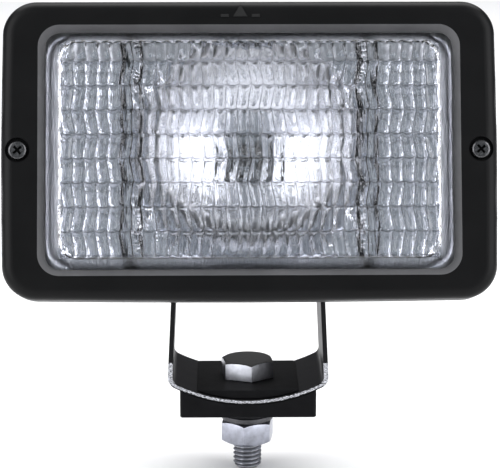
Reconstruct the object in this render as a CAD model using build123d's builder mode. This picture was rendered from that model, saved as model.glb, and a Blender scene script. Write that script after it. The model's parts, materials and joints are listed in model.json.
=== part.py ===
"""Rectangular fog light on a U bracket, clamped by one hexagon bolt between two saddles.

Units are millimetres. The origin is on the bolt axis at the seat of the lower saddle,
+Z runs up the bolt and the lamp faces -Y, tilted up by TILT degrees.
"""

import os

from math import cos, radians, sin

from build123d import *

# Lamp attitude and the place of its pivot
TILT = 17.0
PIVOT_Z = 88.0
PIVOT_DEPTH = 54.0  # from the front of the bezel back to the pivot axis

# Front bezel
BEZEL_W, BEZEL_H, BEZEL_DEPTH = 160.0, 97.0, 15.0
BEZEL_CORNER, BEZEL_EDGE, BEZEL_BOW = 11.0, 4.0, 0.7
BEZEL_FRONT_WALL, BEZEL_SKIRT = 3.5, 3.0
APERTURE_W, APERTURE_H, APERTURE_CORNER = 136.0, 81.0, 7.0
APERTURE_BEVEL = 2.2
BEZEL_SCREW_X, BEZEL_SCREW_R = 74.5, 1.5
MARK_X, MARK_V = -2.8, 44.4

# Lens, gasket and reflector, stacked behind the bezel's front wall
LENS_W, LENS_H, LENS_CORNER = 141.0, 85.0, 9.0
LENS_FLANGE_T, LENS_GLASS_T = 3.0, 3.0
LENS_FOOT_W, LENS_FOOT_H = 130.6, 75.8
LENS_FIELD_W, LENS_FIELD_H = 121.0, 69.6
LENS_PROUD = 2.5
GASKET_T, GASKET_LIP = 2.0, 4.0
REFLECTOR_T = 1.0
TRAY_W, TRAY_H = 128.0, 76.4
DISH_R, DISH_FOCUS, DISH_DEPTH = 38.0, 18.5, 33.0

# Housing
SCREW_BOSS_X = 73.2
RIM_W, RIM_H, RIM_T, RIM_CORNER = 153.4, 90.4, 3.5, 8.0
BOWL_W, BOWL_H = 146.0, 84.0
BOWL_REAR_W, BOWL_REAR_H, BOWL_REAR_DEPTH = 68.0, 40.0, 35.0
HOLLOW_W, HOLLOW_H = 134.0, 80.0
TOWER_W, TOWER_H, TOWER_REAR = 44.0, 40.0, 63.0
TOWER_WALL = 2.5

# Bracket strip
STRIP_T, STRIP_W = 1.6, 40.0
BASE_R = 57.0  # outer radius of the curved base
BASE_Z = 8.8  # lowest point of the curved base
ARM_TOP_HALF = 25.5  # outer half-spacing of the arms at the pivot
ARM_KNEE_Z = 62.0  # above this height the arms stand parallel
ARM_LEAN = 2.8
ARM_END_R = 10.5
ARM_TAPER_Z = 46.0
BEND_R = 4.2
PIVOT_HOLE_R = 3.25
LEAN_TRAVEL = 6.2  # sideways travel of the base each way along its arc

# Saddles and mounting hardware
SADDLE_GAP = 0.25
LOWER_W, LOWER_BOTTOM = 47.0, 4.0
SEAT_R, CONE_R = 9.2, 19.0
UPPER_W, UPPER_TOP = 35.0, 13.5
BOLT_R, BOLT_TIP_Z, HEAD_H, HEX_AF = 5.0, -19.5, 6.4, 17.0
THREAD_PITCH_R = 4.51  # engaged threads are drawn where their flanks meet
SPRING_WASHER_T, SPRING_WASHER_R = 2.0, 9.05
NUT_H = 8.0
RUN_GAP = 0.1

# Pivot hardware
PIVOT_SCREW_R, PIVOT_HEAD_AF, PIVOT_HEAD_H = 3.0, 10.0, 4.0
PIVOT_WASHER_T, PIVOT_WASHER_R = 1.6, 5.9
INSERT_R, INSERT_END_X = 4.5, 11.0
BOSS_R = 9.0

# The lamp's own directions and planes
FORWARD = Vector(0, -cos(radians(TILT)), sin(radians(TILT)))
UP = Vector(0, sin(radians(TILT)), cos(radians(TILT)))
PIVOT = Vector(0, 0, PIVOT_Z)
FRONT = PIVOT + FORWARD * PIVOT_DEPTH
FACE = Plane(origin=FRONT, x_dir=(1, 0, 0), z_dir=FORWARD)
SECTION = Plane(origin=FRONT, x_dir=(1, 0, 0), z_dir=UP)  # local y is depth
SIDE = Plane(origin=FRONT, x_dir=-FORWARD, z_dir=(-1, 0, 0))  # local x is depth, y is up
LAMP_AXIS = Axis(FRONT, -FORWARD)

LENS_DEPTH = BEZEL_FRONT_WALL
GASKET_DEPTH = LENS_DEPTH + LENS_FLANGE_T
REFLECTOR_DEPTH = GASKET_DEPTH + GASKET_T
RIM_DEPTH = REFLECTOR_DEPTH + REFLECTOR_T
DISH_RIM_DEPTH = DISH_DEPTH - DISH_R**2 / (4 * DISH_FOCUS)


def at_depth(depth):
    """Plane parallel to the lamp's face, a given depth behind the bezel's front."""
    return FACE.offset(-depth)


def side_plane(x):
    """Plane square to the pivot axis at x, facing away from the lamp's middle."""
    return Plane(origin=PIVOT + Vector(x, 0, 0), x_dir=FORWARD, z_dir=(1 if x > 0 else -1, 0, 0))


# ---------------------------------------------------------------- front bezel
with BuildPart() as front_bezel:
    with BuildSketch(at_depth(0)):
        with BuildLine():
            half_w, half_h = BEZEL_W / 2 - BEZEL_BOW, BEZEL_H / 2 - BEZEL_BOW
            top_left, top_right = (-half_w, BEZEL_H / 2), (half_w, BEZEL_H / 2)
            low_left, low_right = (-half_w, -half_h), (half_w, -half_h)
            Line(top_left, top_right)
            ThreePointArc(top_right, (BEZEL_W / 2, 0), low_right)
            ThreePointArc(low_right, (0, -BEZEL_H / 2), low_left)
            ThreePointArc(low_left, (-BEZEL_W / 2, 0), top_left)
        outline = make_face()
        fillet(outline.vertices(), radius=BEZEL_CORNER)
    extrude(amount=-BEZEL_DEPTH)
    front_edges = front_bezel.faces().sort_by(Axis(FRONT, FORWARD))[-1].edges()
    fillet(front_edges, radius=BEZEL_EDGE)
    with BuildSketch(at_depth(BEZEL_FRONT_WALL)):
        inner_w, inner_h = BEZEL_W - 2 * BEZEL_SKIRT, BEZEL_H - 2 * BEZEL_SKIRT
        RectangleRounded(inner_w, inner_h, BEZEL_CORNER - BEZEL_SKIRT)
    extrude(amount=-BEZEL_DEPTH, mode=Mode.SUBTRACT)
    with BuildSketch(at_depth(0)):
        RectangleRounded(APERTURE_W, APERTURE_H, APERTURE_CORNER)
    with BuildSketch(at_depth(BEZEL_FRONT_WALL)):
        bevel = 2 * APERTURE_BEVEL
        RectangleRounded(APERTURE_W - bevel, APERTURE_H - bevel, APERTURE_CORNER - APERTURE_BEVEL)
    loft(mode=Mode.SUBTRACT)
    # Pillars behind the front wall carry the two bezel screws down to the housing rim.
    with BuildSketch(at_depth(BEZEL_FRONT_WALL)):
        with Locations((-BEZEL_SCREW_X, 0), (BEZEL_SCREW_X, 0)):
            Circle(3.0)
    extrude(amount=-(RIM_DEPTH - BEZEL_FRONT_WALL))
    with Locations(at_depth(0)):
        with Locations((-BEZEL_SCREW_X, 0), (BEZEL_SCREW_X, 0)):
            CounterBoreHole(radius=BEZEL_SCREW_R + 0.1, counter_bore_radius=4.0, counter_bore_depth=2.2, depth=14)
    # Raised mark on the top bar: a triangle between two dashes shows which way is up.
    with BuildSketch(at_depth(0)):
        with Locations((MARK_X, MARK_V)):
            Triangle(a=4.6, b=4.6, c=4.6)
        with Locations((MARK_X - 5, MARK_V - 1), (MARK_X + 5, MARK_V - 1)):
            Rectangle(2.6, 0.9)
    extrude(amount=0.35)
front_bezel.part.label = "front_bezel"

# ---------------------------------------------------------------- bezel screws
with BuildPart() as bezel_screws:
    with BuildSketch(at_depth(2.2)):
        with Locations((-BEZEL_SCREW_X, 0), (BEZEL_SCREW_X, 0)):
            Circle(3.1)
    extrude(amount=2.0)
    fillet(bezel_screws.faces().group_by(Axis(FRONT, FORWARD))[-1].edges(), radius=0.9)
    with BuildSketch(at_depth(2.2)):
        with Locations((-BEZEL_SCREW_X, 0), (BEZEL_SCREW_X, 0)):
            Circle(BEZEL_SCREW_R)
    extrude(amount=-16)
    with BuildSketch(at_depth(0.2)):
        with Locations((-BEZEL_SCREW_X, 0), (BEZEL_SCREW_X, 0)):
            Rectangle(3.4, 0.8, rotation=40)
            Rectangle(3.4, 0.8, rotation=130)
    extrude(amount=-1.1, mode=Mode.SUBTRACT)
bezel_screws.part.label = "bezel_screws"

# ---------------------------------------------------------------- lens and gasket
with BuildPart() as lens:
    with BuildSketch(at_depth(LENS_DEPTH)):
        RectangleRounded(LENS_W, LENS_H, LENS_CORNER)
    extrude(amount=-LENS_FLANGE_T)
    with BuildSketch(at_depth(LENS_DEPTH)):
        RectangleRounded(LENS_FOOT_W, LENS_FOOT_H, 7)
    with BuildSketch(at_depth(-LENS_PROUD)):
        RectangleRounded(LENS_FIELD_W, LENS_FIELD_H, 5.5)
    loft()
    with BuildSketch(at_depth(GASKET_DEPTH)):
        foot_w, foot_h = LENS_FOOT_W - 2 * LENS_GLASS_T, LENS_FOOT_H - 2 * LENS_GLASS_T
        RectangleRounded(foot_w, foot_h, 5.5)
    with BuildSketch(at_depth(LENS_GLASS_T - LENS_PROUD)):
        field_w, field_h = LENS_FIELD_W - LENS_GLASS_T, LENS_FIELD_H - LENS_GLASS_T
        RectangleRounded(field_w, field_h, 4)
    loft(mode=Mode.SUBTRACT)
lens.part.label = "lens"

with BuildPart() as lens_gasket:
    with BuildSketch(at_depth(GASKET_DEPTH)):
        RectangleRounded(LENS_W, LENS_H, LENS_CORNER)
        inner_w, inner_h = LENS_W - 2 * GASKET_LIP, LENS_H - 2 * GASKET_LIP
        RectangleRounded(inner_w, inner_h, LENS_CORNER - GASKET_LIP, mode=Mode.SUBTRACT)
    extrude(amount=-GASKET_T)
lens_gasket.part.label = "lens_gasket"

# ---------------------------------------------------------------- reflector
with BuildPart() as reflector:
    with BuildSketch(at_depth(REFLECTOR_DEPTH)):
        RectangleRounded(LENS_W - 1, LENS_H - 1, LENS_CORNER)
    extrude(amount=-REFLECTOR_T)
    with BuildSketch(at_depth(REFLECTOR_DEPTH)):
        RectangleRounded(TRAY_W, TRAY_H, 7)
    extrude(amount=-(DISH_RIM_DEPTH + REFLECTOR_T - REFLECTOR_DEPTH))
    with BuildSketch(SECTION):
        with BuildLine():
            out_r, out_depth = DISH_R + REFLECTOR_T, DISH_DEPTH + REFLECTOR_T
            Bezier((0, out_depth), (out_r / 2, out_depth), (out_r, DISH_RIM_DEPTH))
            Line((out_r, DISH_RIM_DEPTH), (0, DISH_RIM_DEPTH))
            Line((0, DISH_RIM_DEPTH), (0, out_depth))
        make_face()
    revolve(axis=LAMP_AXIS)
    # Flat pad behind the dish, for the bulb flange, its clip and the earth tab.
    with BuildSketch(at_depth(DISH_DEPTH - 4)):
        RectangleRounded(34, 20, 4)
    extrude(amount=-5.5)
    with BuildSketch(at_depth(REFLECTOR_DEPTH)):
        RectangleRounded(TRAY_W - 2, TRAY_H - 2, 6)
    extrude(amount=-(DISH_RIM_DEPTH - REFLECTOR_DEPTH), mode=Mode.SUBTRACT)
    with BuildSketch(SECTION):
        with BuildLine():
            Bezier((0, DISH_DEPTH), (DISH_R / 2, DISH_DEPTH), (DISH_R, DISH_RIM_DEPTH))
            Line((DISH_R, DISH_RIM_DEPTH), (0, DISH_RIM_DEPTH))
            Line((0, DISH_RIM_DEPTH), (0, DISH_DEPTH))
        make_face()
    revolve(axis=LAMP_AXIS, mode=Mode.SUBTRACT)
    with BuildSketch(at_depth(DISH_DEPTH - 5)):
        Circle(6.5)
        with Locations((-14.5, 0)):
            Circle(1.3)
    extrude(amount=-8, mode=Mode.SUBTRACT)
reflector.part.label = "reflector"

# ---------------------------------------------------------------- housing
PAD_DEPTH = DISH_DEPTH + 1.5
with BuildPart() as housing:
    with BuildSketch(at_depth(RIM_DEPTH)):
        RectangleRounded(RIM_W, RIM_H, RIM_CORNER)
    extrude(amount=-RIM_T)
    with BuildSketch(at_depth(RIM_DEPTH + RIM_T)):
        RectangleRounded(BOWL_W, BOWL_H, 12)
    with BuildSketch(at_depth(BOWL_REAR_DEPTH)):
        RectangleRounded(BOWL_REAR_W, BOWL_REAR_H, 14)
    loft()
    with BuildSketch(at_depth(BOWL_REAR_DEPTH - 4)):
        RectangleRounded(TOWER_W, TOWER_H, 5)
    extrude(amount=-(TOWER_REAR - BOWL_REAR_DEPTH + 4))
    fillet(housing.faces().sort_by(Axis(FRONT, -FORWARD))[-1].edges(), radius=4.5)
    for x in (-TOWER_W / 2, TOWER_W / 2):
        with BuildSketch(side_plane(x)):
            Circle(BOSS_R)
        extrude(amount=ARM_TOP_HALF - STRIP_T - RUN_GAP - TOWER_W / 2)
    with BuildSketch(at_depth(RIM_DEPTH)):
        with Locations((-SCREW_BOSS_X, 0), (SCREW_BOSS_X, 0)):
            RectangleRounded(2 * (RIM_W / 2 - SCREW_BOSS_X), 11, 2.5)
    extrude(amount=-12)
    # Hollow the bowl and the tower.
    with BuildSketch(at_depth(RIM_DEPTH)):
        RectangleRounded(HOLLOW_W, HOLLOW_H, 7)
    with BuildSketch(at_depth(RIM_DEPTH + RIM_T)):
        RectangleRounded(HOLLOW_W, HOLLOW_H, 7.5)
    loft(mode=Mode.SUBTRACT)
    with BuildSketch(at_depth(RIM_DEPTH + RIM_T)):
        RectangleRounded(HOLLOW_W, HOLLOW_H, 7.5)
    with BuildSketch(at_depth(DISH_DEPTH)):
        RectangleRounded(BOWL_REAR_W - 4, BOWL_REAR_H - 3, 12)
    loft(mode=Mode.SUBTRACT)
    with BuildSketch(at_depth(DISH_DEPTH - 3)):
        RectangleRounded(TOWER_W - 2 * TOWER_WALL, TOWER_H - 2 * TOWER_WALL, 3)
    extrude(amount=-(TOWER_REAR - TOWER_WALL - DISH_DEPTH + 3), mode=Mode.SUBTRACT)
    # Inner bosses hold the pivot inserts.
    for x in (-INSERT_END_X + 1.5, INSERT_END_X - 1.5):
        with BuildSketch(side_plane(x)):
            Circle(7)
        extrude(amount=TOWER_W / 2 - TOWER_WALL / 2 - abs(x))
    for x in (-INSERT_END_X, INSERT_END_X):
        with BuildSketch(side_plane(x)):
            Circle(INSERT_R)
        extrude(amount=TOWER_W, mode=Mode.SUBTRACT)
    # Pilot holes for the bezel screws and the cable inlet in the rear wall.
    with BuildSketch(at_depth(RIM_DEPTH)):
        with Locations((-BEZEL_SCREW_X, 0), (BEZEL_SCREW_X, 0)):
            Circle(BEZEL_SCREW_R + 0.02)
    extrude(amount=-10, mode=Mode.SUBTRACT)
    with BuildSketch(at_depth(TOWER_REAR - 5)):
        with Locations((0, -8)):
            Circle(5.5)
    extrude(amount=-10, mode=Mode.SUBTRACT)
housing.part.label = "housing"

# ---------------------------------------------------------------- cable grommet
with BuildPart() as cable_grommet:
    for depth, length, radius in (
        (TOWER_REAR - TOWER_WALL - 1.5, 1.5, 7.0),
        (TOWER_REAR - TOWER_WALL, TOWER_WALL, 5.5),
        (TOWER_REAR, 2.0, 7.4),
        (TOWER_REAR + 2.0, 2.0, 5.6),
    ):
        with BuildSketch(at_depth(depth)):
            with Locations((0, -8)):
                Circle(radius)
        extrude(amount=-length)
    with BuildSketch(at_depth(TOWER_REAR - 5)):
        with Locations((0, -8)):
            Circle(3)
    extrude(amount=-12, mode=Mode.SUBTRACT)
cable_grommet.part.label = "cable_grommet"

# ---------------------------------------------------------------- bulb
BASE_DEPTH = PAD_DEPTH
FILAMENT_DEPTH = DISH_DEPTH - DISH_FOCUS
CAPSULE_R, CAPSULE_T, DOME_DEPTH = 5.7, 0.8, 15.0
with BuildPart() as bulb_capsule:
    with BuildSketch(SECTION):
        with BuildLine():
            foot = Line((CAPSULE_R - CAPSULE_T, BASE_DEPTH), (CAPSULE_R, BASE_DEPTH))
            wall = Line(foot @ 1, (CAPSULE_R, DOME_DEPTH))
            dome = CenterArc((0, DOME_DEPTH), CAPSULE_R, 0, -90)
            tip = Line(dome @ 1, (0, DOME_DEPTH - CAPSULE_R + CAPSULE_T))
            CenterArc((0, DOME_DEPTH), CAPSULE_R - CAPSULE_T, -90, 90)
            Line((CAPSULE_R - CAPSULE_T, DOME_DEPTH), foot @ 0)
        make_face()
    revolve(axis=LAMP_AXIS)
bulb_capsule.part.label = "bulb_capsule"

with BuildPart() as bulb_filament:
    with BuildSketch(Plane(FRONT - FORWARD * FILAMENT_DEPTH - Vector(2.9, 0, 0), z_dir=(1, 0, 0))):
        Circle(0.7)
    extrude(amount=5.8)
    with BuildSketch(at_depth(FILAMENT_DEPTH)):
        with Locations((-2.5, 0), (2.5, 0)):
            Circle(0.4)
    extrude(amount=-(BASE_DEPTH - 3.5 - FILAMENT_DEPTH))
bulb_filament.part.label = "bulb_filament"

with BuildPart() as bulb_base:
    with BuildSketch(at_depth(BASE_DEPTH)):
        Circle(9.4)
        with Locations((0, 12)):
            Rectangle(20, 8, mode=Mode.SUBTRACT)
    extrude(amount=-1.2)
    with BuildSketch(at_depth(BASE_DEPTH + 1.2)):
        Circle(5.6)
    extrude(amount=-7)
    with BuildSketch(at_depth(BASE_DEPTH)):
        Circle(4.8)
    extrude(amount=3.5)
bulb_base.part.label = "bulb_base"

CLIP_DEPTH = BASE_DEPTH + 1.2 + 0.6
with BuildPart() as bulb_clip:
    with BuildLine(at_depth(CLIP_DEPTH)) as clip_wire:
        FilletPolyline((-16, -7.2), (11.5, -7.2), (11.5, 7.2), (-16, 7.2), radius=3)
    with BuildSketch(Plane(clip_wire.line @ 0, z_dir=clip_wire.line % 0)):
        Circle(0.6)
    sweep()
bulb_clip.part.label = "bulb_clip"

with BuildPart() as clip_plate:
    with BuildSketch(at_depth(CLIP_DEPTH + 0.6)):
        with Locations((-14.5, 0)):
            RectangleRounded(4.5, 19, 1)
            Circle(1.35, mode=Mode.SUBTRACT)
    extrude(amount=-0.8)
clip_plate.part.label = "clip_plate"

with BuildPart() as clip_screw:
    with BuildSketch(at_depth(CLIP_DEPTH + 1.4)):
        with Locations((-14.5, 0)):
            Circle(2.1)
    extrude(amount=-1.3)
    with BuildSketch(at_depth(CLIP_DEPTH + 1.4)):
        with Locations((-14.5, 0)):
            Circle(1.25)
    extrude(amount=5)
clip_screw.part.label = "clip_screw"

with BuildPart() as earth_tab:
    with BuildSketch(at_depth(PAD_DEPTH)):
        with Locations((15, 0)):
            Rectangle(2.4, 8)
    extrude(amount=-0.8)
    with BuildSketch(at_depth(PAD_DEPTH + 0.8)):
        with Locations((15.8, 0)):
            Rectangle(0.8, 6.3)
    extrude(amount=-7)
earth_tab.part.label = "earth_tab"

LEAD_R = 1.3
LEAD_START = BASE_DEPTH + 8.2
SLEEVE_V = 10.5
with BuildPart() as bulb_lead:
    with BuildLine(SIDE) as lead_path:
        rise = LEAD_START + 8.5
        FilletPolyline((LEAD_START, 0), (LEAD_START + 5, 0), (rise, 5), (rise, SLEEVE_V), radius=3)
    with BuildSketch(Plane(lead_path.line @ 0, z_dir=lead_path.line % 0)):
        Circle(LEAD_R)
    sweep()
bulb_lead.part.label = "bulb_lead"

SLEEVE_AT = FRONT - FORWARD * (LEAD_START + 8.5) + UP * SLEEVE_V
with BuildPart() as terminal_sleeve:
    with BuildSketch(Plane(SLEEVE_AT, x_dir=(1, 0, 0), z_dir=UP)):
        RectangleRounded(8.8, 4.4, 1)
        Rectangle(6.6, 1.2, mode=Mode.SUBTRACT)
    extrude(amount=6.2)
terminal_sleeve.part.label = "terminal_sleeve"

with BuildPart() as lead_terminal:
    with BuildSketch(Plane(SLEEVE_AT, x_dir=(1, 0, 0), z_dir=UP)):
        Rectangle(6.3, 0.8)
    extrude(amount=6.0)
lead_terminal.part.label = "lead_terminal"

# ---------------------------------------------------------------- pivot hardware
WASHER_X = ARM_TOP_HALF + RUN_GAP
HEAD_X = WASHER_X + PIVOT_WASHER_T
with BuildPart() as pivot_screws:
    for side in (-1, 1):
        with BuildSketch(side_plane(side * HEAD_X)):
            RegularPolygon(radius=PIVOT_HEAD_AF / 2, side_count=6, major_radius=False)
        extrude(amount=PIVOT_HEAD_H)
        with BuildSketch(side_plane(side * (INSERT_END_X + 1))):
            Circle(PIVOT_SCREW_R)
        extrude(amount=HEAD_X - INSERT_END_X - 1)
pivot_screws.part.label = "pivot_screws"

with BuildPart() as pivot_washers:
    for side in (-1, 1):
        with BuildSketch(side_plane(side * WASHER_X)):
            Circle(PIVOT_WASHER_R)
            Circle(PIVOT_SCREW_R + 0.1, mode=Mode.SUBTRACT)
            with Locations((0, PIVOT_WASHER_R)):
                Rectangle(0.8, 2 * PIVOT_SCREW_R, rotation=20, mode=Mode.SUBTRACT)
        extrude(amount=PIVOT_WASHER_T)
pivot_washers.part.label = "pivot_washers"

with BuildPart() as pivot_inserts:
    for side in (-1, 1):
        with BuildSketch(side_plane(side * INSERT_END_X)):
            Circle(INSERT_R)
            Circle(PIVOT_SCREW_R + 0.02, mode=Mode.SUBTRACT)
        extrude(amount=ARM_TOP_HALF - STRIP_T - RUN_GAP - INSERT_END_X)
pivot_inserts.part.label = "pivot_inserts"

# ---------------------------------------------------------------- bracket
ARC_CENTRE_Z = BASE_Z + BASE_R
ARM_TOP_Z = PIVOT_Z + ARM_END_R
ARM_SLOPE = sin(radians(ARM_LEAN)) / cos(radians(ARM_LEAN))


def u_profile(inset):
    """Filled U seen from the front, moved inwards from the strip's outer face."""
    top, foot = ARM_TOP_HALF - inset, ARM_TOP_HALF - inset + ARM_KNEE_Z * ARM_SLOPE
    with BuildSketch(Plane.XZ) as profile:
        with BuildLine():
            Polyline(
                (-top, ARM_TOP_Z),
                (-top, ARM_KNEE_Z),
                (-foot, 0),
                (foot, 0),
                (top, ARM_KNEE_Z),
                (top, ARM_TOP_Z),
                close=True,
            )
        make_face()
        with Locations((0, ARC_CENTRE_Z)):
            Circle(BASE_R - inset, mode=Mode.INTERSECT)
        corners = profile.vertices().filter_by(lambda corner: 5 < corner.Y < 30)
        fillet(corners, radius=BEND_R - inset)
    return profile.sketch


strip_outside, strip_inside = u_profile(0), u_profile(STRIP_T)
with BuildPart() as bracket:
    extrude(strip_outside, amount=STRIP_W / 2, both=True)
    extrude(strip_inside, amount=STRIP_W, both=True, mode=Mode.SUBTRACT)
    with BuildSketch(Plane.YZ):
        with BuildLine():
            Polyline(
                (-STRIP_W / 2, 0),
                (STRIP_W / 2, 0),
                (STRIP_W / 2, ARM_TAPER_Z),
                (ARM_END_R, PIVOT_Z - 4),
                (-ARM_END_R, PIVOT_Z - 4),
                (-STRIP_W / 2, ARM_TAPER_Z),
                close=True,
            )
        make_face()
        with Locations((0, PIVOT_Z)):
            Circle(ARM_END_R)
            with Locations((0, -2)):
                Rectangle(2 * ARM_END_R, 4)
    extrude(amount=BEZEL_W, both=True, mode=Mode.INTERSECT)
    with BuildSketch(Plane.YZ):
        with Locations((0, PIVOT_Z)):
            Circle(PIVOT_HOLE_R)
    extrude(amount=BEZEL_W, both=True, mode=Mode.SUBTRACT)
    with BuildSketch(Plane.XY):
        SlotOverall(2 * (BOLT_R + LEAN_TRAVEL + SADDLE_GAP), 2 * (BOLT_R + SADDLE_GAP))
    extrude(amount=UPPER_TOP, mode=Mode.SUBTRACT)
bracket.part.label = "bracket"

# ---------------------------------------------------------------- saddles
with BuildPart() as lower_saddle:
    with BuildSketch(Plane.XY.offset(LOWER_BOTTOM)):
        RectangleRounded(LOWER_W, STRIP_W, 1.2)
    extrude(amount=BASE_R / 3)
    with BuildSketch(Plane.XZ):
        with Locations((0, ARC_CENTRE_Z)):
            Circle(BASE_R + SADDLE_GAP)
    extrude(amount=STRIP_W, both=True, mode=Mode.SUBTRACT)
    with BuildSketch(Plane.XY):
        Circle(SEAT_R)
    with BuildSketch(Plane.XY.offset(LOWER_BOTTOM)):
        Circle(CONE_R)
    loft()
    with BuildSketch(Plane.XY):
        Circle(BOLT_R + SADDLE_GAP)
    extrude(amount=UPPER_TOP, mode=Mode.SUBTRACT)
    sides = lower_saddle.faces().filter_by(Axis.Y) + lower_saddle.faces().filter_by(Axis.X)
    low_rim = sides.edges().filter_by_position(Axis.Z, LOWER_BOTTOM - 0.01, LOWER_BOTTOM + 0.01)
    fillet(low_rim, radius=0.5)
lower_saddle.part.label = "lower_saddle"

with BuildPart() as upper_saddle:
    with BuildSketch(Plane.XY.offset(BASE_Z)):
        RectangleRounded(UPPER_W, STRIP_W - 2, 1)
    extrude(amount=UPPER_TOP - BASE_Z)
    with BuildSketch(Plane.XZ):
        with Locations((0, ARC_CENTRE_Z)):
            Circle(BASE_R - STRIP_T - SADDLE_GAP)
    extrude(amount=STRIP_W, both=True, mode=Mode.INTERSECT)
    with BuildSketch(Plane.XY):
        Circle(BOLT_R + SADDLE_GAP)
    extrude(amount=UPPER_TOP, mode=Mode.SUBTRACT)
upper_saddle.part.label = "upper_saddle"

# ---------------------------------------------------------------- bolt, washer and nut
HEAD_TURN, NUT_TURN = 38.0, 22.0
HEAD_Z = UPPER_TOP + RUN_GAP
WASHER_TOP = -RUN_GAP
NUT_TOP = WASHER_TOP - SPRING_WASHER_T


def turned_hexagon(bottom, height, turn):
    """Hexagon prism with a 30 degree chamfer on the corners of its top face."""
    corner_r, face_r = HEX_AF / 3**0.5, 0.95 * HEX_AF / 2
    top, shoulder = bottom + height, bottom + height - (corner_r - face_r) / 3**0.5
    with BuildPart() as prism:
        with BuildSketch(Plane.XY.offset(bottom)):
            RegularPolygon(HEX_AF / 2, 6, major_radius=False, rotation=turn)
        extrude(amount=height)
        with BuildSketch(Plane.XZ):
            with BuildLine():
                shoulder_at, face_at = (corner_r, shoulder), (face_r, top)
                Polyline((0, bottom), (corner_r, bottom), shoulder_at, face_at, (0, top), close=True)
            make_face()
        revolve(axis=Axis.Z, mode=Mode.INTERSECT)
    return prism.part


bolt_head = turned_hexagon(HEAD_Z, HEAD_H, HEAD_TURN)
nut_half = turned_hexagon(NUT_TOP - NUT_H / 2, NUT_H / 2, NUT_TURN)
with BuildPart() as mount_bolt:
    add(bolt_head)
    with BuildSketch(Plane.XY.offset(BOLT_TIP_Z)):
        Circle(BOLT_R)
    extrude(amount=HEAD_Z - BOLT_TIP_Z)
    chamfer(mount_bolt.faces().sort_by(Axis.Z)[0].edges(), length=1.0)
    with BuildSketch(Plane.XY.offset(NUT_TOP)):
        Circle(BOLT_R)
        Circle(THREAD_PITCH_R, mode=Mode.SUBTRACT)
    extrude(amount=-NUT_H, mode=Mode.SUBTRACT)
mount_bolt.part.label = "mount_bolt"

with BuildPart() as spring_washer:
    with BuildSketch(Plane.XY.offset(WASHER_TOP)):
        Circle(SPRING_WASHER_R)
        Circle(BOLT_R + 0.2, mode=Mode.SUBTRACT)
    extrude(amount=-SPRING_WASHER_T)
    with BuildSketch(Plane.YZ):
        with Locations((0, WASHER_TOP - SPRING_WASHER_T / 2)):
            Rectangle(0.9, 2 * SPRING_WASHER_T, rotation=25)
    extrude(amount=2 * SPRING_WASHER_R, mode=Mode.SUBTRACT)
spring_washer.part.label = "spring_washer"

with BuildPart() as mount_nut:
    add(nut_half)
    mirror(about=Plane.XY.offset(NUT_TOP - NUT_H / 2))
    with BuildSketch(Plane.XY.offset(NUT_TOP)):
        Circle(THREAD_PITCH_R + 0.02)
    extrude(amount=-NUT_H, mode=Mode.SUBTRACT)
mount_nut.part.label = "mount_nut"

# ---------------------------------------------------------------- export
PIECES = (
    front_bezel, bezel_screws, lens, lens_gasket, reflector, housing, cable_grommet,
    bulb_capsule, bulb_filament, bulb_base, bulb_clip, clip_plate, clip_screw, earth_tab,
    bulb_lead, terminal_sleeve, lead_terminal, pivot_screws, pivot_washers, pivot_inserts,
    bracket, lower_saddle, upper_saddle, mount_bolt, spring_washer, mount_nut,
)
os.makedirs("parts", exist_ok=True)
for piece in PIECES:
    export_step(piece.part, f"parts/{piece.part.label}.step")
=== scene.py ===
import json
from math import cos, floor, pi, radians, sin, tan

import bmesh
import bpy
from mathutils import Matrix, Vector


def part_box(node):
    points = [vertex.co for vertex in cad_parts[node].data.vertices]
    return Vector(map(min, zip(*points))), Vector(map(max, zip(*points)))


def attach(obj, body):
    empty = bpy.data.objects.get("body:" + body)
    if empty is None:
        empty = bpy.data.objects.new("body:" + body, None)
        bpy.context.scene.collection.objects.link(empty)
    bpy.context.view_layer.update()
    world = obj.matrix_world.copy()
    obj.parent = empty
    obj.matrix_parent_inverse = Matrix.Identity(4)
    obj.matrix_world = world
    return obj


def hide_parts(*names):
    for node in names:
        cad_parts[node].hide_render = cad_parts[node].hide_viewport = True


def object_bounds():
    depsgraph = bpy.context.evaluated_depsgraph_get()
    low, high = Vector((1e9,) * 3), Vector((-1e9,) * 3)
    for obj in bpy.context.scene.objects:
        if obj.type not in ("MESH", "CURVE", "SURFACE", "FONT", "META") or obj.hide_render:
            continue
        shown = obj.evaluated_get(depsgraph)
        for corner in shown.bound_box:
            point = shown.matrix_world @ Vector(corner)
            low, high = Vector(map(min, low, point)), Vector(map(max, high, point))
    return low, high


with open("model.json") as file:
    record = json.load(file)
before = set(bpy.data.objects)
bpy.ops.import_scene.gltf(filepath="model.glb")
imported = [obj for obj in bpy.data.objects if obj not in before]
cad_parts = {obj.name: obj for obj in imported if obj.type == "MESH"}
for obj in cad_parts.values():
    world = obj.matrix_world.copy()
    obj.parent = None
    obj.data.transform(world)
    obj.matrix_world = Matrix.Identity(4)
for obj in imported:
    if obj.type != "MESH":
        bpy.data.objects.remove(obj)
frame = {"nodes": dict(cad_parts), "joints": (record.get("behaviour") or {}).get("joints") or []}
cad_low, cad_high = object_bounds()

# ---------------------------------------------------------------- the studio
# A pale sweep under and behind the lamp, which is held by its stud, and a long
# lens a little above the bezel, looking down on the bolt.

SENSOR_MM, LENS_MM = 36.0, 155.6
CAMERA_PLACE = (-0.0106, -0.7344, 0.2267)
LOOK_DOWN, LOOK_ASIDE = radians(12.45), radians(-0.9)

camera_data = bpy.data.cameras.new("camera")
camera_data.sensor_width = SENSOR_MM
camera_data.lens = LENS_MM
camera = bpy.data.objects.new("camera", camera_data)
camera.location = CAMERA_PLACE
camera.rotation_euler = (pi / 2 - LOOK_DOWN, 0, LOOK_ASIDE)
bpy.context.collection.objects.link(camera)
bpy.context.scene.camera = camera
bpy.context.scene.view_settings.view_transform = "Standard"


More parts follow.
